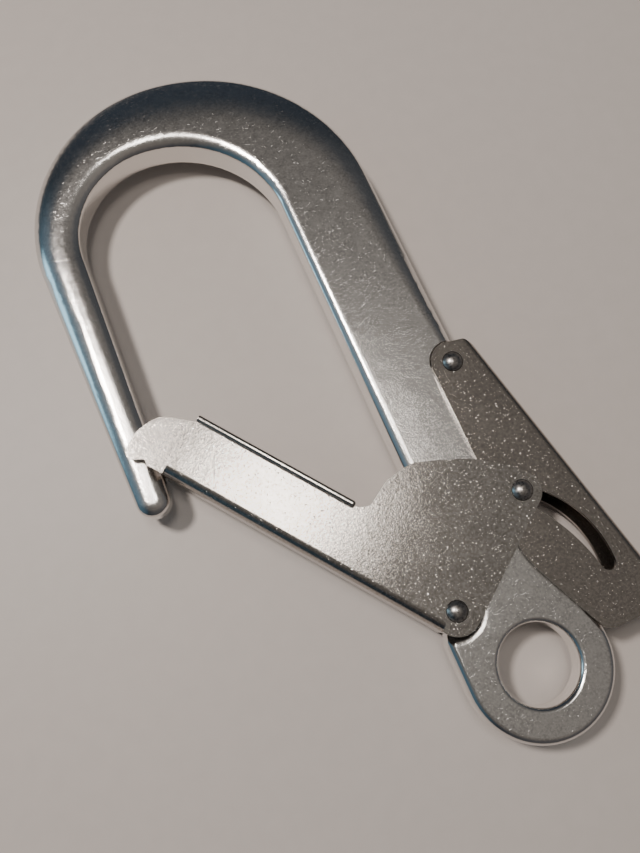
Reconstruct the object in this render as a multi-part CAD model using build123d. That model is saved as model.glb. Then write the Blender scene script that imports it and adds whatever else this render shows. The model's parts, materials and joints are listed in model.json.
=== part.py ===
from build123d import *
import os
from math import atan2, cos, degrees, radians, sin, tan

# Double-action scaffold hook: a forged hook body with an eye, a pressed channel gate that closes
# the throat, and a pressed channel lever on the back that has to be squeezed to let the gate swing.
# Millimetres. The hook lies flat: +Z is its thickness, +Y runs from the eye to the bow, and the
# origin is the centre of the eye bore at mid thickness. The spine is at +X, the nose at -X.

# ---------------------------------------------------------------- driving dimensions
# Hook body, overall
hook_top_y = 218.8        # crown of the bow above the eye centre
body_thick = 14.0         # spine and bow
plate_thick = 10.2        # eye and neck, thinned so that the lever lies flush with the spine
spine_in_x = -12.0        # throat side of the spine
spine_w = 30.5
throat_w = 64.5           # clear width between spine and leg
leg_w = 14.0              # leg where it leaves the bow
bow_w = 23.8              # bow at its crown
crown_out_x = -39.5       # crown of the outer outline
crown_in_x = -48.0        # crown of the inner outline

# Forged section: a flat crest that rolls over to the inner wall and slopes away to the outer side
inner_roll = 50.0         # degrees the face has turned where it meets the inner wall
roll_w = 5.0              # inner roll's width on the bow and leg
spine_roll_w = 3.2
crest_w = 1.2             # flat that is left at the bow's crown
spine_slope_w = 4.2       # outer slope beside the lever
shoulder_w = 10.0         # outer slope where the bow starts
spine_drop = 3.4          # fall of the outer slope on the spine
bow_drop = 4.2
wall_edge_r = 1.3
outer_edge_r = 2.6
bow_steps = 12

# Nose
nose_y = 82.6             # lowest point of the nose
nose_w = 10.2
nose_thick = 10.4
nose_out_shift = 1.3      # how far the leg's outer side leans inwards by the nose
nose_roll_w = 4.2
nose_edge_r = 1.8

# Eye
eye_r = 22.0
eye_bore_d = 23.5
eye_edge_r = 2.4
bore_edge_r = 1.6

# Neck between the eye and the spine, all of it behind the lever and the gate
neck_inset = 4.0          # its outer side behind the lever's free edge
neck_waist = 2.0          # how much further in it is at its waist
waist_rise = 6.0          # waist above the link rivet
neck_top_rise = 22.0      # where it meets the spine's outer side, above the link rivet
hip_rise = 9.0            # where it widens to the eye, above the gate pivot
hip_angle = 40.0          # where it meets the eye, degrees above +X
neck_r = 12.0
neck_top_r = 8.0
boss_inset = 0.5          # boss round the lever pivot, inside the lever's end

# Pivots: gate on the throat side beside the eye, link on the gate's wing, lever high on the spine
gate_pivot = Vector(-16.0, 23.0, 0)
link_y = 46.5
link_inset = 2.0          # link rivet from the spine's outer side
lever_pivot_y = 90.5
lever_pivot_inset = 3.0

# Motion
gate_travel = 40.0        # degrees the gate swings towards the spine
lever_ratio = 0.125       # degrees of lever for each degree of gate
slot_overrun = 5.0        # degrees of gate travel that the slot is longer than it needs
slot_back = 0.6           # and at its closed end
squeeze_first = 3         # how early the slot lets the lever be squeezed; 1 is only with the gate

# Gate, in its own frame: u runs from the pivot to the tip, v from the web to the throat
gate_sheet = 2.0
gate_depth = 7.0          # web's outer face from the pivot
gate_mouth = 12.2         # open edge of the arm from the pivot
lip_cover = 1.5           # how far the tip reaches past the nose's throat side
lip_rise = 24.8           # height of the tip above the nose's end
gate_bend_r = 3.2
wing_end_r = 6.0          # wing around the link rivet
flange_from = 39.5        # stiffening flange's start from the pivot
flange_gap = 14.2         # and its end from the tip
flange_out = 2.2          # how far it stands off the cheek
lip_w = 6.6               # rounded lip at the tip that straddles the nose
lip_drop = 3.1            # its corner past the web's outer face, before rounding
lip_notch = 1.3           # notch between the lip and the web's end
lip_r = 2.6
tip_slope = (3.0, 4.6)    # corner above the tip: back along u, down from the mouth
tip_end_r = 6.0
tip_top_r = 9.0
mouth_step = 1.0          # open edge below the flange's outer face
root = (4.0, 2.0)         # inside corner by the flange: back along u, up from the mouth
root_r = 2.4
wing = (                  # wing's throat side: back from the flange, down from the link, rounding
    (4.5, 17.0, 9.0),
    (8.5, 8.5, 9.0),
    (22.5, -0.8, 30.0),
)

# Lever
lever_sheet = 1.5
lever_end_r = 6.5
lever_back = 9.1          # web's outer face from the lever pivot
lever_lean = 12.3         # degrees between the web and -Y
lever_bend_r = 2.4
lever_foot_y = 0.6        # bottom edge
lever_foot_lap = 0.2      # how far the foot laps the eye
lever_top_drop = 1.1      # top outer corner below the rounded end
lever_shoulder = 3.2      # height of the slope at that corner
lever_knee_r = 30.0
lever_foot_r = 4.0
lever_toe_r = 2.0
lever_edge_inset = 9.6    # straight free edge from the spine's outer side
lever_edge_y = 29.0       # its lower end
slot_clear = 0.2          # link rivet in the slot, radial

# Rivets
rivet_r = 2.1
head_r = 3.2
head_h = 1.7
bore_clear = 0.06         # running clearance, radial

# Springs
gate_wire_d = 1.1
gate_turns = 2            # whole turns, besides the part turn between the two legs
gate_leg_lean = 4.5       # degrees the leg leans out to the gate's web
lever_wire_d = 1.0
lever_turns = 3
gate_legs = (14.0, 12.0)  # on the web, along the spine
lever_legs = (9.0, 6.0)   # on the web, in the slot
spring_gap = 0.45         # coil inside from the rivet, radial
coil_pitch = 1.04         # pitch in wire diameters
leg_bite = 0.3            # how far a leg starts inside the coil's end
leg_slim = 0.9            # leg's diameter in wire diameters

spring_slot_run = 8.0     # lever spring's slot past the lever's rounded end

# Clearances between pieces that slide on each other
side_clear = 0.3
zone_clear = 0.5          # lever to the step round it
step_rise = 10.0          # lower end of that step above the link rivet
step_fall = 12.0          # how much lower it is on the throat side
step_r = 4.0
lug_thick = 7.0
lug_r = 4.5
heel = (1.0, 6.3)         # corner of the neck below the lug: behind the web's end, out from the pivot
pocket_r = 10.0           # round pocket in the body beside the gate pivot
pocket_floor_r = 6.2

# ---------------------------------------------------------------- sizes that follow
half_body = body_thick / 2
half_plate = plate_thick / 2
spine_out_x = spine_in_x + spine_w
leg_in_x = spine_in_x - throat_w
leg_out_x = leg_in_x - leg_w
bow_in_y = hook_top_y - bow_w
nose_out_x = leg_out_x + nose_out_shift
nose_in_x = nose_out_x + nose_w
leg_top_y = bow_in_y - (crown_in_x - leg_in_x)
link_rest = Vector(spine_out_x - link_inset, link_y, 0)
lever_pivot = Vector(spine_out_x - lever_pivot_inset, lever_pivot_y, 0)
lever_edge_x = spine_out_x - lever_edge_inset
boss_r = lever_end_r - boss_inset
gate_tip = Vector(nose_in_x - lip_cover, nose_y + lip_rise, 0) - gate_pivot
gate_len = gate_tip.length
gate_angle = degrees(atan2(gate_tip.Y, gate_tip.X))    # direction of u from +X, closed
flange_to = gate_len - flange_gap
lever_in_z = half_plate + side_clear
lever_out_z = lever_in_z + lever_sheet
gate_in_z = max(half_body, lever_out_z) + side_clear
gate_out_z = gate_in_z + gate_sheet
lever_travel = gate_travel * lever_ratio


def turned(point, centre, angle):
    """A point turned about a centre in the plane of the hook, degrees."""
    a = radians(angle)
    dx, dy = point.X - centre.X, point.Y - centre.Y
    return Vector(centre.X + dx * cos(a) - dy * sin(a), centre.Y + dx * sin(a) + dy * cos(a), 0)


def slab(face, low, high):
    """A flat outline made solid between two heights."""
    return Pos(0, 0, low) * extrude(face, amount=high - low, dir=(0, 0, 1))


def both_sides(shape):
    return shape + mirror(shape, about=Plane.XY)


def outline(points, radii=None):
    """A closed outline through corner points, with a rounding at each corner that has one."""
    face = make_face(Polyline(*points, close=True))
    for corner, radius in (radii or {}).items():
        near = Vector(*points[corner], 0)
        vertex = min(face.vertices(), key=lambda v: (Vector(*tuple(v)) - near).length)
        face = fillet(vertex, radius)
    return face


# ---------------------------------------------------------------- hook body
def section(inner, outer, half, roll, crest_out, drop, edges=(wall_edge_r, outer_edge_r)):
    """The forging's cross-section between an inner and an outer point.

    Its faces are flat from the roll's end to crest_out, both counted from the inner side, and
    curve down to both walls, by the drop on the outer side.
    """
    across = outer - inner
    w = across.length
    plane = Plane(origin=inner, x_dir=across, z_dir=across.cross(Vector(0, 0, 1)))
    in_z = half - roll * tan(radians(inner_roll / 2))
    out_z = half - drop
    upper = TangentArc((roll, half), (0, in_z), tangent=(-1, 0))
    upper += Line((roll, half), (crest_out, half))
    upper += TangentArc((crest_out, half), (w, out_z), tangent=(1, 0))
    walls = Line((0, in_z), (0, -in_z)) + Line((w, out_z), (w, -out_z))
    face = make_face(upper + mirror(upper, about=Plane.XZ) + walls)
    corners = {(0, in_z): edges[0], (w, out_z): edges[1], (w, -out_z): edges[1], (0, -in_z): edges[0]}
    for (x, z), radius in corners.items():
        near = Vector(x, z, 0)
        corner = min(face.vertices(), key=lambda v: (Vector(*tuple(v)) - near).length)
        face = fillet(corner, radius)
    return plane * face


def bow_stations():
    """Inner and outer points round the bow, with how much of the width is flat there."""
    r_out = (spine_out_x - crown_out_x, crown_out_x - leg_out_x)
    r_in = (spine_in_x - crown_in_x, crown_in_x - leg_in_x)
    stations = []
    for i in range(bow_steps + 1):
        turn = 180 * i / bow_steps
        left = int(turn > 90)
        c, s = cos(radians(turn)), sin(radians(turn))
        outer = Vector(crown_out_x + r_out[left] * c, hook_top_y - r_out[left] * (1 - s), 0)
        inner = Vector(crown_in_x + r_in[left] * c, bow_in_y - r_in[left] * (1 - s), 0)
        width = (outer - inner).length
        spine_share = max(0.0, 1 - turn / 75)
        roll = roll_w + (spine_roll_w - roll_w) * spine_share
        narrow = roll + crest_w
        crest_out = narrow + (width - narrow - shoulder_w) * spine_share
        drop = bow_drop + (spine_drop - bow_drop) * spine_share
        stations.append(section(inner, outer, half_body, roll, crest_out, drop))
    return stations


def spine_section(y, slope_w):
    return section(Vector(spine_in_x, y, 0), Vector(spine_out_x, y, 0), half_body,
                   spine_roll_w, spine_w - slope_w, spine_drop)


def spine_and_bow():
    """The outer slope is narrow beside the lever, widens up the spine and fills the bow."""
    low_y = gate_pivot.Y
    lever_top_y = lever_pivot.Y + lever_end_r
    plain = spine_section(lever_top_y, spine_slope_w)
    straight = extrude(plain, amount=lever_top_y - low_y, dir=(0, -1, 0))
    round_bow = bow_stations()
    return straight + loft([plain, round_bow[0]], ruled=True) + loft(round_bow)


def leg():
    """The leg thins evenly from the bow to the nose, which ends in a half round."""
    nose_r = nose_w / 2
    nose_cy = nose_y + nose_r
    low = section(Vector(nose_in_x, nose_cy, 0), Vector(nose_out_x, nose_cy, 0), nose_thick / 2,
                  nose_roll_w, nose_w - nose_roll_w, nose_roll_w * tan(radians(inner_roll / 2)),
                  (nose_edge_r, nose_edge_r))
    top = bow_stations()[-1]
    axis = Axis(((nose_out_x + nose_in_x) / 2, nose_cy, 0), (0, 0, 1))
    half = low & Pos(nose_in_x, nose_cy, 0) * Box(nose_w, 1, 2 * nose_thick)
    return loft([low, top], ruled=True) + revolve(half, axis=axis, revolution_arc=-180)


def neck_outline():
    """Eye, neck and the boss round the lever pivot, all within the lever's and gate's channels."""
    flank_y = gate_pivot.Y - pocket_floor_r - lug_r / 2
    neck_x = lever_edge_x + neck_inset
    heel_corner = gate_pivot + Vector(-heel[0], heel[1]).rotate(Axis.Z, gate_angle)
    hip = Vector(eye_r, 0).rotate(Axis.Z, hip_angle)
    top_y = lever_pivot.Y
    return outline([
        (-eye_r, 0), (-eye_r, flank_y), (heel_corner.X, heel_corner.Y),
        (gate_pivot.X, gate_pivot.Y + lug_r), (spine_in_x, gate_pivot.Y + lug_r),
        (spine_in_x, top_y), (lever_pivot.X, top_y + boss_r / 3),
        (spine_out_x, top_y - 2 * boss_r), (spine_out_x, link_rest.Y + neck_top_rise),
        (neck_x - neck_waist, link_rest.Y + waist_rise), (neck_x, gate_pivot.Y + hip_rise),
        (hip.X, hip.Y), (0, 0)],
        {8: neck_top_r, 9: neck_r, 10: neck_r})


def lever_zone():
    """Where the body is thinned: round the lever at both ends of its travel, and all below."""
    grown = offset(lever_outline(), amount=zone_clear)
    squeezed = Pos(lever_pivot) * Rot(0, 0, -lever_travel) * Pos(-lever_pivot) * grown
    step = turned(Vector(lever_edge_x, link_rest.Y + step_rise), lever_pivot, -lever_travel)
    far_in_x, far_out_x, far_y = leg_in_x / 2, 3 * spine_out_x, -2 * eye_r
    below = outline([
        (far_in_x, far_y), (far_out_x, far_y), (far_out_x, step.Y), (step.X - side_clear, step.Y),
        (spine_in_x - step_r, step.Y - step_fall), (far_in_x, step.Y - step_fall)], {3: step_r})
    return [grown, squeezed, below]


def hook_body():
    shape = spine_and_bow() + leg()
    for zone in lever_zone():
        shape -= slab(zone, -half_body - 1, half_body + 1)
    eye = slab(Circle(eye_r), -half_plate, half_plate)
    neck = slab(neck_outline(), -half_plate, half_plate)
    boss = slab(Pos(lever_pivot) * Circle(boss_r), -half_plate, half_plate)
    lug = slab(Pos(gate_pivot) * Circle(lug_r), -lug_thick / 2, lug_thick / 2)
    shape += eye + neck + boss
    shape = shape - both_sides(pocket()) + lug
    rim = [e for e in shape.edges().filter_by(GeomType.CIRCLE)
           if abs(e.radius - eye_r) < 0.01 and abs(abs(e.center().Z) - half_plate) < 0.01]
    shape = fillet(rim, eye_edge_r)
    shape -= Cylinder(eye_bore_d / 2, plate_thick + 2)
    bore = [e for e in shape.edges().filter_by(GeomType.CIRCLE)
            if abs(e.radius - eye_bore_d / 2) < 0.01]
    shape = fillet(bore, bore_edge_r)
    for pivot in (gate_pivot, lever_pivot):
        shape -= Pos(pivot) * Cylinder(rivet_r + bore_clear, body_thick + 2)
    return shape - lever_spring_slot()


def pocket():
    """Room beside the lug for the gate's round end and its spring, with a sloping wall."""
    wall = Cone(pocket_floor_r, pocket_r, half_plate - lug_thick / 2,
                align=(Align.CENTER, Align.CENTER, Align.MIN))
    above = Pos(gate_pivot) * slab(Circle(pocket_r), half_plate, half_body + 1)
    return Pos(gate_pivot) * Pos(0, 0, lug_thick / 2) * wall + above


def lever_spring_slot():
    """A slot in the boss, open to the lever's web, that holds the lever's spring."""
    half = lever_wire_d * (coil_pitch * (lever_turns - 0.5) + 1) / 2 + side_clear
    reach = lever_end_r + spring_slot_run
    room = rivet_r + spring_gap + lever_wire_d + side_clear
    low = -lever_legs[1] - side_clear
    shape = outline([(-room, low), (reach, low), (reach, room), (-room, room)])
    return slab(Pos(lever_pivot) * (shape + Circle(room)), -half, half)


# ---------------------------------------------------------------- gate
def gate_frame():
    return Pos(gate_pivot) * Rot(0, 0, gate_angle)


def to_gate(u, v):
    """Gate coordinates, v measured from the pivot towards the throat."""
    return (u, -v)


def link_uv():
    p = turned(link_rest, gate_pivot, -gate_angle)
    return p.X - gate_pivot.X, -(p.Y - gate_pivot.Y)


def cheek_outline():
    """One side of the gate: round pivot end, broad wing to the link rivet, slim arm to the tip."""
    link_u, link_v = link_uv()
    lip_u = gate_len - lip_w
    wing_top = link_v + wing_end_r
    corners = [
        (0, -gate_depth, 0), (lip_u - lip_notch, -gate_depth, 0),
        (lip_u, -gate_depth + lip_notch, lip_notch / 2), (gate_len, -gate_depth - lip_drop, lip_r),
        (gate_len, 0, tip_end_r), (gate_len - tip_slope[0], gate_mouth - tip_slope[1], tip_top_r),
        (flange_to, gate_mouth - mouth_step, 0), (flange_from - mouth_step, gate_mouth, 0),
        (flange_from - root[0], gate_mouth + root[1], root_r)]
    corners += [(flange_from - back, link_v - down, rounding) for back, down, rounding in wing]
    corners += [
        (link_u + wing_end_r, wing_top - mouth_step, 0),
        (link_u - wing_end_r, wing_top, wing_end_r - 0.2), (-gate_depth, -gate_depth, gate_depth - 0.2)]
    roundings = {i: corner[2] for i, corner in enumerate(corners) if corner[2]}
    return outline([to_gate(u, v) for u, v, _ in corners], roundings)


def gate_web_end():
    """The web stops against the throat side of the nose, which holds the gate closed."""
    a = radians(gate_angle)
    tip_y = gate_pivot.Y + gate_len * sin(a)
    lean = (leg_in_x - nose_in_x) / (leg_top_y - nose_y - nose_w / 2)
    stop_x = nose_in_x + lean * (tip_y - nose_y - nose_w / 2) + side_clear
    return (stop_x - gate_pivot.X + gate_depth * sin(a)) / cos(a)


def gate_channel():
    cheek = cheek_outline()
    web_end = gate_web_end()
    blank = slab(cheek, -gate_out_z, gate_out_z)
    web_run = Pos(web_end / 2, gate_depth - gate_sheet / 2) * Rectangle(web_end, gate_sheet)
    hollow = slab(cheek, -gate_in_z, gate_in_z)
    shape = blank - hollow
    shape += slab(web_run, -gate_out_z + 0.01, gate_out_z - 0.01)
    link_u, link_v = link_uv()
    for u, v in ((0, 0), (link_u, link_v)):
        shape -= Pos(*to_gate(u, v)) * Cylinder(rivet_r + bore_clear, 3 * gate_out_z)
    shape += both_sides(gate_flange())
    shape = round_bend(shape, gate_depth, gate_out_z, gate_bend_r, web_end)
    return gate_frame() * shape


def gate_flange():
    """The arm's open edge turned outwards as a stiffening strip, with a rounded rim."""
    mid_u = (flange_from + flange_to) / 2
    length = flange_to - flange_from
    strip = Pos(mid_u, -gate_mouth) * Rectangle(length, gate_sheet)
    near_end = strip.vertices().group_by(Axis.X)[0]
    strip = fillet(near_end, gate_sheet / 2 - 0.1)
    shape = slab(strip, gate_in_z, gate_out_z + flange_out)
    rim = shape.edges().group_by(Axis.Z)[-1].filter_by(Axis.X)
    return fillet(rim, gate_sheet / 2 - 0.15)


def round_bend(shape, depth, out_z, radius, length):
    """The long outside bends of a channel whose web is at +Y, rounded by cutting the corner."""
    corner = Rectangle(radius, radius, align=(Align.MAX, Align.MAX))
    corner -= Pos(-radius, -radius) * Circle(radius)
    bar = Plane.YZ * Pos(depth, out_z) * corner
    cut = Pos(1, 0, 0) * extrude(bar, amount=length - 1)
    return shape - both_sides(cut)


# ---------------------------------------------------------------- lever
def lever_back_x(y):
    """The outer face of the lever's web at a height."""
    top = lever_pivot.X + lever_back / cos(radians(lever_lean))
    return top + (lever_pivot.Y - y) * tan(radians(lever_lean))


def lever_outline():
    """One side of the lever: round pivot end, straight free edge, foot beside the eye."""
    end = lever_end_r
    top_y = lever_pivot.Y + end - lever_top_drop
    shoulder_y = top_y - lever_shoulder
    return outline([
        (lever_edge_x, lever_pivot.Y + end), (lever_edge_x, lever_edge_y),
        (eye_r - lever_foot_lap, lever_foot_y), (lever_back_x(lever_foot_y), lever_foot_y),
        (lever_back_x(shoulder_y), shoulder_y), (lever_pivot.X + end, top_y),
        (lever_pivot.X, lever_pivot.Y + end)],
        {0: end - 0.2, 1: lever_knee_r, 2: lever_foot_r, 3: lever_toe_r, 4: lever_toe_r, 5: lever_toe_r})


def slot_path(early):
    """Where the link rivet stands in the lever as the gate opens, from closed to open.

    early is 1 when the lever turns evenly with the gate, and more when it is squeezed sooner.
    """
    steps = 8
    swing_range = gate_travel + slot_overrun + slot_back
    points = []
    for i in range(steps + 1):
        share = i / steps
        swing = swing_range * share - slot_back
        press = (swing_range * (1 - (1 - share) ** early) - slot_back) * lever_ratio
        on_gate = turned(link_rest, gate_pivot, -swing)
        points.append(turned(on_gate, lever_pivot, press))
    return points


def cam_slot():
    """The slot is wide enough in its middle for the lever to be squeezed before the gate moves."""
    half = rivet_r + slot_clear
    bands = []
    for early in (1, squeeze_first):
        path = slot_path(early)
        line = Spline(*path)
        start = Line(path[0] + normal_of(line, 0) * half, path[0] - normal_of(line, 0) * half)
        bands += [sweep(start, line), Pos(path[0]) * Circle(half), Pos(path[-1]) * Circle(half)]
    return [slab(f, -lever_out_z - 1, lever_out_z + 1) for f in bands]


def normal_of(line, t):
    d = line.tangent_at(t)
    return Vector(-d.Y, d.X, 0)


def lock_lever():
    face = lever_outline()
    blank = slab(face, -lever_out_z, lever_out_z)
    lean = Pos(lever_pivot) * Rot(0, 0, lever_lean)
    keep = lean * Pos(lever_back - lever_sheet, 0) * Rectangle(
        4 * eye_r, 12 * eye_r, align=(Align.MAX, Align.CENTER))
    shape = blank - slab(keep, -lever_in_z, lever_in_z)
    for cut in cam_slot():
        shape -= cut
    shape -= Pos(lever_pivot) * Cylinder(rivet_r + bore_clear, 3 * lever_out_z)
    corner = Rectangle(lever_bend_r, lever_bend_r, align=(Align.MAX, Align.MAX))
    corner -= Pos(-lever_bend_r, -lever_bend_r) * Circle(lever_bend_r)
    bar = Plane.XZ * Pos(lever_back, lever_out_z) * corner
    cut = lean * Pos(0, 20, 0) * extrude(bar, amount=6 * eye_r)
    return shape - both_sides(cut)


# ---------------------------------------------------------------- rivets and springs
def rivet(centre, face_z):
    """A domed rivet; the heads stand just clear of the sheets they hold."""
    seat = face_z + bore_clear
    shank = Cylinder(rivet_r, 2 * seat + 0.4)
    ball_r = (head_r ** 2 + head_h ** 2) / (2 * head_h)
    dome = Pos(0, 0, seat + head_h - ball_r) * Sphere(ball_r)
    head = dome & Pos(0, 0, seat + head_h / 2) * Cylinder(head_r, head_h)
    return Pos(centre) * (both_sides(head) + shank)


def torsion_spring(wire_d, turns, angle, leg_a, leg_b):
    """A close-wound coil about Z: it starts from leg A's end, at an angle, and runs out as leg B."""
    mean_r = rivet_r + spring_gap + wire_d / 2
    pitch = wire_d * coil_pitch
    path = Helix(pitch=pitch, height=pitch * turns, radius=mean_r)
    section = Plane(origin=path @ 0, z_dir=path % 0) * Circle(wire_d / 2)
    shape = Rot(0, 0, angle) * sweep(section, path, is_frenet=True)
    last = angle + 360 * turns
    for where, height, length, turn in ((angle, 0, leg_a, -90), (last, pitch * turns, leg_b, 90)):
        start = Vector(mean_r * cos(radians(where)), mean_r * sin(radians(where)), height)
        run = Vector(cos(radians(where + turn)), sin(radians(where + turn)), 0)
        rod = Plane(origin=start - run * leg_bite, z_dir=run) * Circle(wire_d / 2 * leg_slim)
        shape += extrude(rod, amount=length + leg_bite)
    return Pos(0, 0, -pitch * turns / 2) * shape


def gate_spring():
    """The coil in front of the lug: leg A behind the gate's web, leg B up along the spine."""
    room_mid = (lug_thick / 2 + gate_in_z) / 2
    start = gate_angle + 90 + gate_leg_lean
    spring = torsion_spring(gate_wire_d, gate_turns + (360 - start) / 360, start, *gate_legs)
    return Pos(gate_pivot) * Pos(0, 0, room_mid) * spring


def lever_spring():
    """The coil in the boss: leg A behind the lever's web, leg B down inside the slot."""
    spring = torsion_spring(lever_wire_d, lever_turns - 0.5, 0, *lever_legs)
    return Pos(lever_pivot) * spring


# ---------------------------------------------------------------- write
def main():
    nodes = {
        "hook_body": hook_body(),
        "gate_channel": gate_channel(),
        "lock_lever": lock_lever(),
        "gate_pivot_rivet": rivet(gate_pivot, gate_out_z),
        "link_rivet": rivet(link_rest, gate_out_z),
        "lever_pivot_rivet": rivet(lever_pivot, lever_out_z),
        "gate_spring_front": gate_spring(),
        "gate_spring_back": mirror(gate_spring(), about=Plane.XY),
        "lever_spring": lever_spring(),
    }
    os.makedirs("parts", exist_ok=True)
    for name, shape in nodes.items():
        export_step(shape, f"parts/{name}.step")


main()
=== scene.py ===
import json
import math

import bmesh
import bpy
from mathutils import Euler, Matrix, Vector


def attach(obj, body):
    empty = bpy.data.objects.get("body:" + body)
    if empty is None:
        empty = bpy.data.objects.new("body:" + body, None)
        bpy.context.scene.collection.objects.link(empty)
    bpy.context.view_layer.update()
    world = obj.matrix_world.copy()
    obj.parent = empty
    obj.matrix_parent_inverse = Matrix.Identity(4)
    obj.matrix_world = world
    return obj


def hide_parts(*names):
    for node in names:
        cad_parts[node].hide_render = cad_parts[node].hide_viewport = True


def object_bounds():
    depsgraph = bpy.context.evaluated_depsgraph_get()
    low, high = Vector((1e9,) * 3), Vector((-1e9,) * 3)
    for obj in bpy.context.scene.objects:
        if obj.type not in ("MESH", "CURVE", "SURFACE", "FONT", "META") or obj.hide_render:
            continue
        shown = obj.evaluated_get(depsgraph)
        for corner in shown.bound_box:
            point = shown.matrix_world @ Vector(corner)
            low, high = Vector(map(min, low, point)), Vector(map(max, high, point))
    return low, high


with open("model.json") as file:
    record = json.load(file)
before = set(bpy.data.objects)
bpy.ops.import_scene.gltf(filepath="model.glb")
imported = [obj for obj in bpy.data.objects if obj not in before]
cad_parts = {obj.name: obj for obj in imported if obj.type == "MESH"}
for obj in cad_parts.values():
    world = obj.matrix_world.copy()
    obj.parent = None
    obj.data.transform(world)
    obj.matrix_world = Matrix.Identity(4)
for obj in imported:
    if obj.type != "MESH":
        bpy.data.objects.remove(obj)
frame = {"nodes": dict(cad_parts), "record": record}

bl_info = {
    "name": "Scaffold Hook Finish",
    "version": (1, 0, 0),
    "blender": (4, 5, 0),
    "location": "3D View > Sidebar > Scaffold Hook",
    "description": "Finishes a double-action scaffold hook and sets it on a pale studio floor",
    "category": "Object",
}

MM = 0.001
MERGE = 0.002 * MM                # points of a CAD mesh closer than this are one
LEVEL = math.radians(0.1)         # its triangles this close to level are one face
CREASE = math.radians(32)         # its edges sharper than this are broken
SCRATCH_WIDTH = 0.3               # mm
BARE_ALUMINIUM = "#FAF8F6"        # inside a fresh scratch
BARE_STEEL = "#DEDAD6"
CAD_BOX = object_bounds()
BODIES = {node: body for body, nodes in frame["record"]["behaviour"]["bodies"].items() for node in nodes}

# The room, by height: where the next grey starts to show, where it is full, and its colour
ROOM_BASE = "#2C3239"
ROOM_BANDS = ((0.16, 0.02, "#4A4A4A"), (0.55, 0.80, "#5E5B58"), (0.86, 0.97, "#72706C"))
# Its glows: direction, the cosines where each starts and is full, colour and strength
ROOM_GLOWS = (
    ((-0.88, 0.43, 0.19), 0.975, 0.995, "#A9DDF5", 1.8),     # cool window, low on the nose's side
    ((-0.95, 0.15, 0.22), 0.60, 0.97, "#4A6B7C", 0.7),       # the wall round it
    ((-0.68, 0.40, 0.62), 0.86, 0.98, "#7C8892", 0.45),      # the wall above it
    ((0.72, -0.10, 0.68), 0.60, 0.95, "#6E6A66", 0.45),      # the wall on the lever's side
    ((0.10, 0.95, 0.20), 0.80, 0.97, "#2F3A48", 0.22),       # the far wall beyond the bow
    ((0.20, -0.80, 0.55), 0.55, 0.98, "#6A6058", 0.4))       # the wall behind the eye
BACKDROP_STRENGTH = 0.8
# The lamps: place, where it points, size and turn about its own axis
KEY_LAMP = ((-0.034, 0.213, 1.009), (-0.056, 0.078, 0.0), (0.20, 0.20), 127)
MAIN_LAMP_PLACE = (-0.37, 0.43, 1.00)
MAIN_LAMP_SIZE = (0.13, 0.13)
CAMERA_PLACE = (-55.2 * MM, 40.5 * MM)
CAMERA_TURN = (12.92, -1.05, -23.56)


# ------------------------------------------------------------------ small tools
def linear(hex_colour):
    """An sRGB hex colour as linear RGBA."""
    parts = [int(hex_colour[i:i + 2], 16) / 255 for i in (1, 3, 5)]
    return tuple(c / 12.92 if c <= 0.04045 else ((c + 0.055) / 1.055) ** 2.4 for c in parts) + (1.0,)


def per_mm(size):
    """The scale of a pattern whose features are this many millimetres across."""
    return 1.0 / (size * MM)


def add(tree, kind, inputs, out=0, **settings):
    """Adds a node, sets its properties, fills its inputs with values or links, and gives an output."""
    node = tree.nodes.new(kind)
    for key, value in settings.items():
        setattr(node, key, value)
    for key, value in inputs.items():
        if isinstance(value, bpy.types.NodeSocket):
            tree.links.new(value, node.inputs[key])
        else:
            node.inputs[key].default_value = value
    return node.outputs[out] if node.outputs else None


def new_tree(owner):
    """The empty node tree of a material or a world."""
    owner.use_nodes = True
    owner.node_tree.nodes.clear()
    return owner.node_tree


def scratches(tree, place, angle, length, low, high):
    """Short thin scratches of a length in mm, laid near one angle and a little curved. They are
    drawn 0.3 mm wide: real ones are finer than a picture of the whole hook can show. low and high
    are the noise levels between which a scratch starts and is full, so they also set how many."""
    bent = add(tree, "ShaderNodeTexNoise", {"Vector": place, "Scale": per_mm(length * 1.5)}, out=1)
    place = add(tree, "ShaderNodeVectorMath", {0: bent, 1: (length * MM * 0.5,) * 3, 2: place},
                operation="MULTIPLY_ADD")
    along = add(tree, "ShaderNodeMapping", {"Vector": place, "Rotation": (0, 0, math.radians(angle)),
                                            "Scale": (SCRATCH_WIDTH / length, 1.0, 1.0)})
    lines = add(tree, "ShaderNodeTexNoise", {"Vector": along, "Scale": per_mm(SCRATCH_WIDTH),
                                             "Detail": 1.0})
    return add(tree, "ShaderNodeMapRange", {"Value": lines, "From Min": low, "From Max": high})


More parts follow.
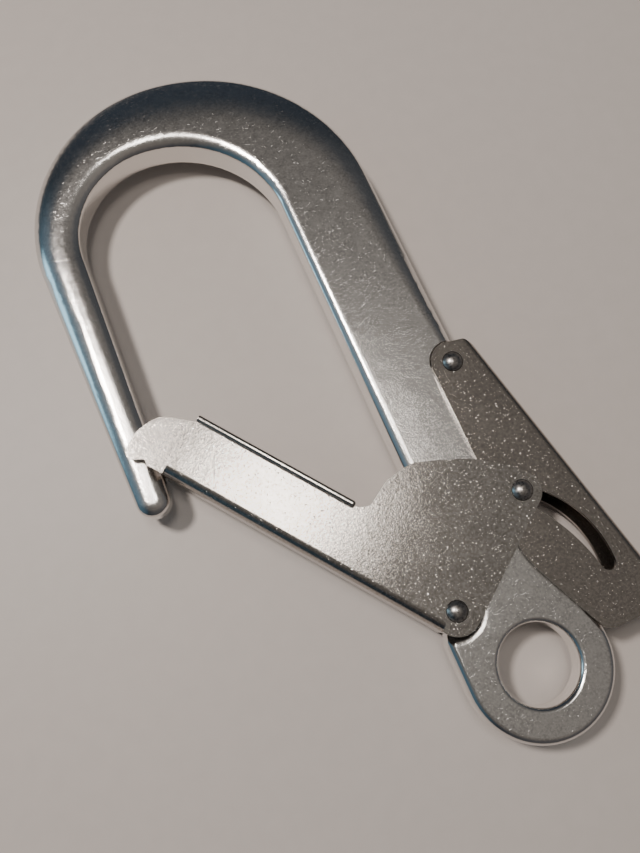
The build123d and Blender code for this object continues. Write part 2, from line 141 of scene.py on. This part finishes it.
# ------------------------------------------------------------------ finishes
def polished_forging(sizes):
    """Forged aluminium alloy, tumbled and polished: mirror-like on its rolled sides, with a soft
    waviness left by the dies; where it faces up it is satin, with fine pecks and curved scratches."""
    material = bpy.data.materials.new("polished_forged_aluminium")
    tree = new_tree(material)
    place = add(tree, "ShaderNodeTexCoord", {}, out=3)

    # handling wears the faces that point up; their patches follow a cloud about 4 mm across
    normal = add(tree, "ShaderNodeTexCoord", {}, out=1)
    facing = add(tree, "ShaderNodeSeparateXYZ", {"Vector": normal}, out=2)
    facing = add(tree, "ShaderNodeMath", {0: facing}, operation="ABSOLUTE")
    up = add(tree, "ShaderNodeMapRange", {"Value": facing, "From Min": 0.84, "From Max": 0.99})
    cloud = add(tree, "ShaderNodeTexNoise", {"Vector": place, "Scale": per_mm(4.0), "Detail": 6.0,
                                             "Roughness": 0.7})
    patches = add(tree, "ShaderNodeMapRange", {"Value": cloud, "From Min": 0.25, "From Max": 0.75})
    worn = add(tree, "ShaderNodeMath", {0: patches, 1: up}, operation="MULTIPLY")

    # scratches run in four directions and thin out on the sides
    marks = scratches(tree, place, 20, 2.4, 0.71, 0.81)
    for angle, length in ((97, 2.0), (140, 3.2), (-35, 1.6)):
        more = scratches(tree, place, angle, length, 0.71, 0.81)
        marks = add(tree, "ShaderNodeMath", {0: marks, 1: more}, operation="MAXIMUM")
    share = add(tree, "ShaderNodeMapRange", {"Value": worn, "To Min": 0.06})
    scuffs = add(tree, "ShaderNodeMath", {0: marks, 1: share}, operation="MULTIPLY")

    # roughness: a clean polish, satin where worn, dull in the scratches
    haze = add(tree, "ShaderNodeTexNoise", {"Vector": place, "Scale": per_mm(1.6), "Detail": 4.0,
                                            "Roughness": 0.7})
    rough = add(tree, "ShaderNodeMapRange", {"Value": haze, "From Min": 0.3, "From Max": 0.7,
                                             "To Min": 0.09, "To Max": 0.17})
    rough = add(tree, "ShaderNodeMath", {0: up, 1: 0.06, 2: rough}, operation="MULTIPLY_ADD")
    rough = add(tree, "ShaderNodeMath", {0: scuffs, 1: 0.10, 2: rough}, operation="MULTIPLY_ADD")

    # relief, coarse to fine: die waves, hammer marks, a peened grain on the worn faces, scratches;
    # the grain is drawn 0.5 mm across, because the real one is too fine to show
    waves = add(tree, "ShaderNodeTexNoise", {"Vector": place, "Scale": per_mm(9.0), "Detail": 1.0})
    bump = add(tree, "ShaderNodeBump", {"Height": waves, "Strength": 0.5, "Distance": 0.06 * MM})
    hammer = add(tree, "ShaderNodeTexNoise", {"Vector": place, "Scale": per_mm(3.2), "Detail": 1.0})
    bump = add(tree, "ShaderNodeBump", {"Height": hammer, "Strength": 0.5, "Distance": 0.03 * MM,
                                        "Normal": bump})
    peen = add(tree, "ShaderNodeTexNoise", {"Vector": place, "Scale": per_mm(0.5), "Detail": 3.0,
                                            "Roughness": 0.7})
    share = add(tree, "ShaderNodeMapRange", {"Value": worn, "To Min": 0.35})
    peen = add(tree, "ShaderNodeMath", {0: peen, 1: share}, operation="MULTIPLY")
    bump = add(tree, "ShaderNodeBump", {"Height": peen, "Strength": 0.8, "Distance": 0.05 * MM,
                                        "Normal": bump})
    bump = add(tree, "ShaderNodeBump", {"Height": scuffs, "Strength": 0.8, "Distance": -0.04 * MM,
                                        "Normal": bump})

    # colour: greyer where oxide stays in the hollows of the worn faces, bare in the scratches
    hollows = add(tree, "ShaderNodeTexNoise", {"Vector": place, "Scale": per_mm(0.7), "Detail": 3.0,
                                               "Roughness": 0.7})
    film = add(tree, "ShaderNodeMapRange", {"Value": hollows, "From Min": 0.40, "From Max": 0.60,
                                            "To Min": 1.0, "To Max": 0.0})
    film = add(tree, "ShaderNodeMath", {0: film, 1: worn}, operation="MULTIPLY")
    tone = add(tree, "ShaderNodeMix", {0: film, 6: linear(sizes.body_tint), 7: linear(sizes.body_film)},
               out=2, data_type="RGBA")
    tone = add(tree, "ShaderNodeMix", {0: scuffs, 6: tone, 7: linear(BARE_ALUMINIUM)}, out=2,
               data_type="RGBA")
    shader = add(tree, "ShaderNodeBsdfPrincipled", {"Base Color": tone, "Metallic": 1.0,
                                                    "Roughness": rough, "Normal": bump})
    add(tree, "ShaderNodeOutputMaterial", {"Surface": shader})
    return material


def tumbled_sheet(name, light, dark, smooth, coarse, grain_depth):
    """Pressed steel sheet after barrel tumbling: fine-grained satin metal with bright pecks and
    short scratches in every direction. smooth and coarse are its lowest and highest roughness, and
    grain_depth is the depth of its grain in mm."""
    material = bpy.data.materials.new(name)
    tree = new_tree(material)
    place = add(tree, "ShaderNodeTexCoord", {}, out=3)
    cloud = add(tree, "ShaderNodeTexNoise", {"Vector": place, "Scale": per_mm(10.0), "Detail": 4.0})
    grain = add(tree, "ShaderNodeTexNoise", {"Vector": place, "Scale": per_mm(0.6), "Detail": 3.0,
                                             "Roughness": 0.7})

    # pecks: one small pit in about a fifth of the cells, drawn 0.3 mm across so that they show
    cells = {"Vector": place, "Scale": per_mm(0.9)}
    near = add(tree, "ShaderNodeTexVoronoi", cells)
    pits = add(tree, "ShaderNodeMapRange", {"Value": near, "From Min": 0.30, "From Max": 0.08})
    cell_colour = add(tree, "ShaderNodeTexVoronoi", cells, out=1)
    chance = add(tree, "ShaderNodeSeparateXYZ", {"Vector": cell_colour})
    chosen = add(tree, "ShaderNodeMapRange", {"Value": chance, "From Min": 0.78, "From Max": 0.80})
    pecks = add(tree, "ShaderNodeMath", {0: pits, 1: chosen}, operation="MULTIPLY")
    marks = scratches(tree, place, 60, 1.0, 0.72, 0.82)
    for angle, length in ((-25, 1.5), (15, 0.8)):
        more = scratches(tree, place, angle, length, 0.72, 0.82)
        marks = add(tree, "ShaderNodeMath", {0: marks, 1: more}, operation="MAXIMUM")

    # roughness: broad cloudy wear with the grain over it
    rough = add(tree, "ShaderNodeMapRange", {"Value": cloud, "From Min": 0.3, "From Max": 0.7,
                                             "To Min": smooth, "To Max": coarse})
    rough = add(tree, "ShaderNodeMath", {0: grain, 1: 0.05, 2: rough}, operation="MULTIPLY_ADD")

    # relief, coarse to fine: the sheet's own waviness, its grain, pecks, scratches; the grain is
    # drawn 0.6 mm across, because the real one is too fine to show
    waves = add(tree, "ShaderNodeTexNoise", {"Vector": place, "Scale": per_mm(14.0), "Detail": 1.0})
    bump = add(tree, "ShaderNodeBump", {"Height": waves, "Strength": 0.5, "Distance": 0.06 * MM})
    bump = add(tree, "ShaderNodeBump", {"Height": grain, "Strength": 0.8, "Distance": grain_depth * MM,
                                        "Normal": bump})
    bump = add(tree, "ShaderNodeBump", {"Height": pecks, "Strength": 0.8, "Distance": -0.05 * MM,
                                        "Normal": bump})
    bump = add(tree, "ShaderNodeBump", {"Height": marks, "Strength": 0.8, "Distance": -0.03 * MM,
                                        "Normal": bump})
    # colour: the grain's hollows hold a grey film, and the pecks are bare and bright
    film = add(tree, "ShaderNodeMapRange", {"Value": grain, "From Min": 0.38, "From Max": 0.62})
    tone = add(tree, "ShaderNodeMix", {0: film, 6: linear(dark), 7: linear(light)}, out=2, data_type="RGBA")
    bare = add(tree, "ShaderNodeMath", {0: pecks, 1: marks}, operation="MAXIMUM")
    tone = add(tree, "ShaderNodeMix", {0: bare, 6: tone, 7: linear(BARE_STEEL)}, out=2, data_type="RGBA")
    shader = add(tree, "ShaderNodeBsdfPrincipled", {"Base Color": tone, "Metallic": 1.0,
                                                    "Roughness": rough, "Normal": bump})
    add(tree, "ShaderNodeOutputMaterial", {"Surface": shader})
    return material


def drawn_steel(name, light, dark, smooth):
    """Cold-headed rivet stock or drawn spring wire: smooth oiled steel whose faint wear, about
    0.8 mm across, dulls and greys it in spots."""
    material = bpy.data.materials.new(name)
    tree = new_tree(material)
    place = add(tree, "ShaderNodeTexCoord", {}, out=3)
    wear = add(tree, "ShaderNodeTexNoise", {"Vector": place, "Scale": per_mm(0.8), "Detail": 4.0})
    bump = add(tree, "ShaderNodeBump", {"Height": wear, "Strength": 0.5, "Distance": 0.04 * MM})
    stain = add(tree, "ShaderNodeMapRange", {"Value": wear, "From Min": 0.35, "From Max": 0.65})
    tone = add(tree, "ShaderNodeMix", {0: stain, 6: linear(dark), 7: linear(light)}, out=2, data_type="RGBA")
    rough = add(tree, "ShaderNodeMapRange", {"Value": wear, "From Min": 0.3, "From Max": 0.7,
                                             "To Min": smooth, "To Max": smooth + 0.12})
    shader = add(tree, "ShaderNodeBsdfPrincipled", {"Base Color": tone, "Metallic": 1.0,
                                                    "Roughness": rough, "Normal": bump})
    add(tree, "ShaderNodeOutputMaterial", {"Surface": shader})
    return material


# ------------------------------------------------------------------ pieces
def refined(node, material, edge):
    """A piece in a CAD node's place: its mesh merged, its sharp edges broken by a rounding that is
    edge wide, and its curves smooth. An edge of 0 leaves them as they are."""
    if node not in frame["nodes"]:
        raise RuntimeError("the frame has no node named " + node)
    mesh = bpy.data.meshes.new(node + "_finished")
    bm = bmesh.new()
    bm.from_mesh(frame["nodes"][node].data)
    bmesh.ops.remove_doubles(bm, verts=bm.verts, dist=MERGE)
    bmesh.ops.dissolve_limit(bm, angle_limit=LEVEL, verts=bm.verts, edges=bm.edges)
    for face in bm.faces:
        face.smooth = True
    bm.to_mesh(mesh)
    bm.free()
    piece = bpy.data.objects.new(node + "_finished", mesh)
    bpy.context.scene.collection.objects.link(piece)
    mesh.materials.append(material)
    if edge > 0:
        bevel = piece.modifiers.new("edge_break", "BEVEL")
        bevel.width = edge
        bevel.segments = 3
        bevel.limit_method = "ANGLE"
        bevel.angle_limit = CREASE
    normals = piece.modifiers.new("flat_faces_first", "WEIGHTED_NORMAL")
    normals.keep_sharp = True
    normals.weight = 90
    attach(piece, BODIES[node])
    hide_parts(node)
    return piece


# ------------------------------------------------------------------ settings
class HookFinishSettings(bpy.types.PropertyGroup):
    """Colours and edge sizes of the hook's pieces."""

    body_tint: bpy.props.StringProperty(
        name="Body tint", description="sRGB colour of the polished forging", default="#E9E6E3")
    body_film: bpy.props.StringProperty(
        name="Body film", description="Grey film in the worn faces' hollows", default="#B9B6B4")
    gate_tint: bpy.props.StringProperty(
        name="Gate tint", description="sRGB colour of the gate's steel", default="#C6C1BC")
    gate_film: bpy.props.StringProperty(
        name="Gate film", description="Grey film in the grain of the gate", default="#A39D97")
    lever_tint: bpy.props.StringProperty(
        name="Lever tint", description="sRGB colour of the lever's steel", default="#B2ABA4")
    lever_film: bpy.props.StringProperty(
        name="Lever film", description="Grey film in the grain of the lever", default="#9A938D")
    rivet_tint: bpy.props.StringProperty(
        name="Rivet tint", description="sRGB colour of the rivets", default="#B9B5B1")
    rivet_wear: bpy.props.StringProperty(
        name="Rivet wear", description="Worn spots of the rivets", default="#8F8B88")
    wire_tint: bpy.props.StringProperty(
        name="Wire tint", description="sRGB colour of the springs", default="#A9A8A8")
    wire_wear: bpy.props.StringProperty(
        name="Wire wear", description="Worn spots of the springs", default="#6E6C6B")
    body_edge: bpy.props.FloatProperty(
        name="Body edges", description="Rounding of the forging's machined edges",
        default=0.35 * MM, unit="LENGTH")
    sheet_edge: bpy.props.FloatProperty(
        name="Sheet edges", description="Rounding left on the sheet's edges by tumbling",
        default=0.45 * MM, unit="LENGTH")


class HookStageSettings(bpy.types.PropertyGroup):
    """The floor, lights and camera."""

    floor_tint: bpy.props.StringProperty(
        name="Floor tint", description="sRGB colour of the floor", default="#CFC6C0")
    floor_size: bpy.props.FloatProperty(
        name="Floor size", description="Side of the square floor", default=3.0, unit="LENGTH")
    camera_height: bpy.props.FloatProperty(
        name="Camera height", description="Camera above the hook's mid plane",
        default=240 * MM, unit="LENGTH")
    room_light: bpy.props.FloatProperty(
        name="Room light", description="Strength of the dim light from the room", default=1.0)
    lens: bpy.props.FloatProperty(
        name="Lens", description="Focal length in mm, on the long side of a 36 mm frame", default=33.76)
    main_power: bpy.props.FloatProperty(
        name="Main power", description="Power of the soft light that casts the shadows",
        default=8.0, unit="POWER")
    key_power: bpy.props.FloatProperty(
        name="Key power", description="Power of the light that the gate mirrors",
        default=1.6, unit="POWER")
    main_tint: bpy.props.StringProperty(
        name="Main tint", description="sRGB colour of the light that casts the shadows", default="#FFF6EE")
    key_tint: bpy.props.StringProperty(
        name="Key tint", description="sRGB colour of the light that the gate mirrors", default="#FFF8F0")


# ------------------------------------------------------------------ operators
class HOOK_OT_body(bpy.types.Operator):
    """Finish the forged body"""
    bl_idname = "hook.body"
    bl_label = "Forged Body"

    def execute(self, context):
        sizes = context.scene.hook_finish
        refined("hook_body", polished_forging(sizes), sizes.body_edge)
        return {"FINISHED"}


class HOOK_OT_gate(bpy.types.Operator):
    """Finish the pressed gate"""
    bl_idname = "hook.gate"
    bl_label = "Gate"

    def execute(self, context):
        sizes = context.scene.hook_finish
        steel = tumbled_sheet("tumbled_gate_steel", sizes.gate_tint, sizes.gate_film,
                              smooth=0.12, coarse=0.16, grain_depth=0.03)
        refined("gate_channel", steel, sizes.sheet_edge)
        return {"FINISHED"}


class HOOK_OT_lever(bpy.types.Operator):
    """Finish the pressed lock lever"""
    bl_idname = "hook.lever"
    bl_label = "Lock Lever"

    def execute(self, context):
        sizes = context.scene.hook_finish
        steel = tumbled_sheet("tumbled_lever_steel", sizes.lever_tint, sizes.lever_film,
                              smooth=0.15, coarse=0.19, grain_depth=0.02)
        refined("lock_lever", steel, sizes.sheet_edge)
        return {"FINISHED"}


class HOOK_OT_rivets(bpy.types.Operator):
    """Finish the three rivets"""
    bl_idname = "hook.rivets"
    bl_label = "Rivets"

    def execute(self, context):
        sizes = context.scene.hook_finish
        steel = drawn_steel("cold_headed_steel", sizes.rivet_tint, sizes.rivet_wear, smooth=0.24)
        for node in ("gate_pivot_rivet", "link_rivet", "lever_pivot_rivet"):
            refined(node, steel, 0.0)
        return {"FINISHED"}


class HOOK_OT_springs(bpy.types.Operator):
    """Finish the torsion springs"""
    bl_idname = "hook.springs"
    bl_label = "Springs"

    def execute(self, context):
        sizes = context.scene.hook_finish
        wire = drawn_steel("drawn_spring_wire", sizes.wire_tint, sizes.wire_wear, smooth=0.22)
        for node in ("gate_spring_front", "gate_spring_back", "lever_spring"):
            refined(node, wire, 0.0)
        return {"FINISHED"}


def add_light(name, place, aim, size, power, tint, turn=0.0):
    """A rectangular soft light at a place, pointing at a spot on the hook."""
    light = bpy.data.lights.new(name, "AREA")
    light.shape = "RECTANGLE"
    light.size, light.size_y = size
    light.energy = power
    light.color = linear(tint)[:3]
    lamp = bpy.data.objects.new(name, light)
    lamp.location = place
    aimed = (Vector(aim) - Vector(place)).to_track_quat("-Z", "Y")
    lamp.rotation_euler = (aimed @ Euler((0, 0, math.radians(turn))).to_quaternion()).to_euler()
    bpy.context.scene.collection.objects.link(lamp)


def light_room(stage):
    """A dark studio round the hook: dark walls with a few glows, a grey ceiling straight above, and
    a cool window low on the nose's side. The camera itself sees a pale backdrop past the floor."""
    world = bpy.data.worlds.new("studio_room")
    bpy.context.scene.world = world
    tree = new_tree(world)
    direction = add(tree, "ShaderNodeTexCoord", {})
    height = add(tree, "ShaderNodeSeparateXYZ", {"Vector": direction}, out=2)
    total = linear(ROOM_BASE)
    for low, high, tint in ROOM_BANDS:
        share = add(tree, "ShaderNodeMapRange", {"Value": height, "From Min": low, "From Max": high})
        total = add(tree, "ShaderNodeMix", {0: share, 6: total, 7: linear(tint)}, out=2, data_type="RGBA")
    for toward, far, near, tint, strength in ROOM_GLOWS:
        facing = add(tree, "ShaderNodeVectorMath", {0: direction, 1: Vector(toward).normalized()},
                     out="Value", operation="DOT_PRODUCT")
        glow = add(tree, "ShaderNodeMapRange", {"Value": facing, "From Min": far, "From Max": near,
                                                "To Max": strength})
        lit = add(tree, "ShaderNodeVectorMath", {0: linear(tint)[:3], "Scale": glow}, operation="SCALE")
        total = add(tree, "ShaderNodeVectorMath", {0: total, 1: lit}, operation="ADD")
    studio = add(tree, "ShaderNodeBackground", {"Color": total, "Strength": stage.room_light})
    backdrop = add(tree, "ShaderNodeBackground", {"Color": linear(stage.floor_tint),
                                                  "Strength": BACKDROP_STRENGTH})
    seen = add(tree, "ShaderNodeLightPath", {})
    mixed = add(tree, "ShaderNodeMixShader", {0: seen, 1: studio, 2: backdrop})
    add(tree, "ShaderNodeOutputWorld", {"Surface": mixed})


def painted_board(tint):
    """Matt painted board: even, with a faint mottle that keeps it from looking like paper."""
    material = bpy.data.materials.new("painted_board")
    tree = new_tree(material)
    place = add(tree, "ShaderNodeTexCoord", {}, out=3)
    cloud = add(tree, "ShaderNodeTexNoise", {"Vector": place, "Scale": per_mm(6.0), "Detail": 3.0})
    mottle = add(tree, "ShaderNodeMapRange", {"Value": cloud, "From Min": 0.3, "From Max": 0.7,
                                              "To Min": 0.985, "To Max": 1.015})
    tone = add(tree, "ShaderNodeHueSaturation", {"Color": linear(tint), "Value": mottle})
    shader = add(tree, "ShaderNodeBsdfPrincipled", {"Base Color": tone, "Roughness": 0.5})
    add(tree, "ShaderNodeOutputMaterial", {"Surface": shader})
    return material


class HOOK_OT_stage(bpy.types.Operator):
    """Lay the floor, hang the lights and set the camera"""
    bl_idname = "hook.stage"
    bl_label = "Stage"

    def execute(self, context):
        stage = context.scene.hook_stage
        low, high = CAD_BOX
        mid = (Vector(low) + Vector(high)) / 2
        mesh = bpy.data.meshes.new("floor")
        bm = bmesh.new()
        bmesh.ops.create_grid(bm, x_segments=1, y_segments=1, size=stage.floor_size / 2)
        bmesh.ops.translate(bm, verts=bm.verts, vec=(mid.x, mid.y, low[2]))
        bm.to_mesh(mesh)
        bm.free()
        mesh.materials.append(painted_board(stage.floor_tint))
        floor = bpy.data.objects.new("floor", mesh)
        context.scene.collection.objects.link(floor)
        light_room(stage)
        place, aim, size, turn = KEY_LAMP
        add_light("key_softbox", place, aim, size, stage.key_power, stage.key_tint, turn)
        add_light("main_softbox", MAIN_LAMP_PLACE, mid, MAIN_LAMP_SIZE, stage.main_power, stage.main_tint)
        data = bpy.data.cameras.new("camera")
        data.lens = stage.lens
        data.clip_start = 0.01
        camera = bpy.data.objects.new("camera", data)
        camera.location = (*CAMERA_PLACE, stage.camera_height)
        camera.rotation_euler = Euler([math.radians(angle) for angle in CAMERA_TURN])
        context.scene.collection.objects.link(camera)
        context.scene.camera = camera
        return {"FINISHED"}


# ------------------------------------------------------------------ panel
STEPS = ("hook.stage", "hook.body", "hook.gate", "hook.lever", "hook.rivets", "hook.springs")


class HOOK_PT_finish(bpy.types.Panel):
    """Lists the hook's pieces and their settings"""
    bl_label = "Scaffold Hook"
    bl_idname = "HOOK_PT_finish"
    bl_space_type = "VIEW_3D"
    bl_region_type = "UI"
    bl_category = "Scaffold Hook"

    def draw(self, context):
        for settings in (context.scene.hook_finish, context.scene.hook_stage):
            for name in settings.__annotations__:
                self.layout.prop(settings, name)
        for step in STEPS:
            self.layout.operator(step)


CLASSES = (HookFinishSettings, HookStageSettings, HOOK_OT_stage, HOOK_OT_body, HOOK_OT_gate,
           HOOK_OT_lever, HOOK_OT_rivets, HOOK_OT_springs, HOOK_PT_finish)


def register():
    for cls in CLASSES:
        bpy.utils.register_class(cls)
    bpy.types.Scene.hook_finish = bpy.props.PointerProperty(type=HookFinishSettings)
    bpy.types.Scene.hook_stage = bpy.props.PointerProperty(type=HookStageSettings)


def unregister():
    del bpy.types.Scene.hook_stage
    del bpy.types.Scene.hook_finish
    for cls in reversed(CLASSES):
        bpy.utils.unregister_class(cls)


def main():
    register()
    for step in STEPS:
        group, name = step.split(".")
        getattr(getattr(bpy.ops, group), name)()


if __name__ == "__main__":
    main()
